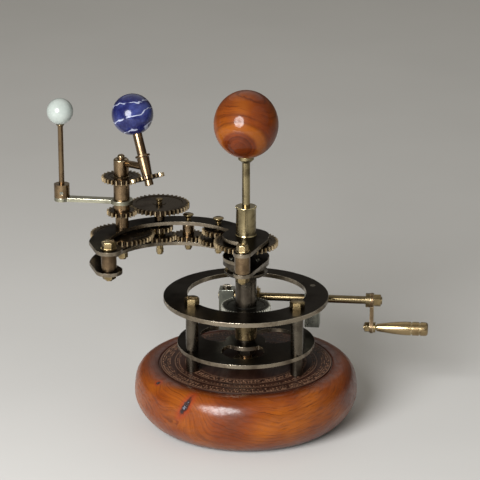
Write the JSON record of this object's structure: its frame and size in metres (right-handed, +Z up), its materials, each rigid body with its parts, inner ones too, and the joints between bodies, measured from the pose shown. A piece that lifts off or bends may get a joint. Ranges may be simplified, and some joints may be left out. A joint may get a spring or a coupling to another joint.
{
  "type": "orrery",
  "caption": "Hand-cranked tabletop orrery: brass gear train on a round wooden base turns a tilted Earth and a Moon about a fixed Sun.",
  "frame": {"origin": "centre of the wooden base's underside, on the Sun's axis", "axes": "+Z up along the Sun's axis; +X along the crank shaft, towards the crank"},
  "size_m": [0.2494, 0.1468, 0.224],
  "materials": {
    "base_wood": "clear lacquer",
    "dark_brass": "polished, darkened",
    "steel": "satin",
    "sun_wood": "clear lacquer",
    "earth_stone": "polished",
    "moon_stone": "polished",
    "brass": "polished"
  },
  "bodies": {
    "stand": {"wooden_base": "base_wood", "base_feet": "brass", "lower_plate": "dark_brass", "pillars": "brass", "ring_plate": "dark_brass", "ring_bolts": "brass", "centre_post": "brass", "post_nuts": "brass", "sun_wheel": "brass", "sun_rod": "brass", "sun_ball": "sun_wood", "left_bearing": "steel", "right_bearing": "steel", "bearing_screws": "steel"},
    "crank": {"crank_shaft": "steel", "worm": "brass", "shaft_collars": "brass", "crank_arm": "brass", "crank_nuts": "brass"},
    "handle": {"handle_grip": "brass"},
    "arm": {"worm_wheel": "brass", "column_tube": "brass", "column_flange": "steel", "flange_screws": "steel", "arm_plate_lower": "dark_brass", "arm_plate_upper": "dark_brass", "tip_spacers": "brass", "tip_bolts": "brass", "sun_tube": "brass", "earth_bush": "brass", "first_stud": "brass", "second_stud": "brass"},
    "first_idler": {"first_idler_upper": "brass", "first_idler_lower": "brass", "first_idler_sleeve": "brass"},
    "second_idler": {"second_idler_wheel": "brass", "second_idler_collar": "brass"},
    "third_wheels": {"third_arbor": "brass", "third_lower_wheel": "brass", "third_pinion": "brass", "moon_drive_wheel": "dark_brass"},
    "earth_carrier": {"earth_spindle": "brass", "earth_wheel": "dark_brass", "carrier_collar": "brass", "tilt_bracket": "steel", "spindle_nut": "brass"},
    "moon": {"moon_wheel": "brass", "moon_tube": "brass", "moon_arm": "brass", "moon_collar": "brass", "moon_screw": "steel", "moon_rod": "brass", "moon_ball": "moon_stone", "spin_wheel": "brass"},
    "earth": {"earth_arbor": "brass", "tilted_wheel": "brass", "earth_ball": "earth_stone"}
  },
  "joints": [
    {"name": "arm_turn", "type": "hinge", "parent": "stand", "child": "arm", "pos_m": [0, 0, 0], "axis": [0, 0, 1], "continuous": true},
    {"name": "crank_turn", "type": "hinge", "parent": "stand", "child": "crank", "pos_m": [0, 0.022, 0.07745], "axis": [1, 0, 0], "continuous": true},
    {"name": "handle_spin", "type": "hinge", "parent": "crank", "child": "handle", "pos_m": [0.1, 0.022, 0.05845], "axis": [1, 0, 0], "continuous": true},
    {"name": "first_idler_turn", "type": "hinge", "parent": "arm", "child": "first_idler", "pos_m": [-0.0205, 0.0219, 0.12], "axis": [0, 0, 1], "continuous": true},
    {"name": "second_idler_turn", "type": "hinge", "parent": "arm", "child": "second_idler", "pos_m": [-0.0412, 0.02773, 0.12], "axis": [0, 0, 1], "continuous": true},
    {"name": "third_wheels_turn", "type": "hinge", "parent": "arm", "child": "third_wheels", "pos_m": [-0.05998, 0.02489, 0.12], "axis": [0, 0, 1], "continuous": true},
    {"name": "earth_carrier_turn", "type": "hinge", "parent": "arm", "child": "earth_carrier", "pos_m": [-0.08235, 0.00804, 0.12], "axis": [0, 0, 1], "continuous": true},
    {"name": "moon_turn", "type": "hinge", "parent": "arm", "child": "moon", "pos_m": [-0.08235, 0.00804, 0.15], "axis": [0, 0, 1], "continuous": true},
    {"name": "earth_spin", "type": "hinge", "parent": "earth_carrier", "child": "earth", "pos_m": [-0.06344, -0.00244, 0.16487], "axis": [-0.2668, 0.2963, 0.9171], "continuous": true}
  ],
  "couplings": [
    {"joint": "crank_turn", "follows": "arm_turn", "ratio": 48},
    {"joint": "first_idler_turn", "follows": "arm_turn", "ratio": 2},
    {"joint": "second_idler_turn", "follows": "arm_turn", "ratio": -2.7778},
    {"joint": "third_wheels_turn", "follows": "arm_turn", "ratio": 2.5},
    {"joint": "earth_carrier_turn", "follows": "arm_turn", "ratio": -1},
    {"joint": "moon_turn", "follows": "arm_turn", "ratio": -5.2778},
    {"joint": "earth_spin", "follows": "arm_turn", "ratio": 5.1333}
  ]
}
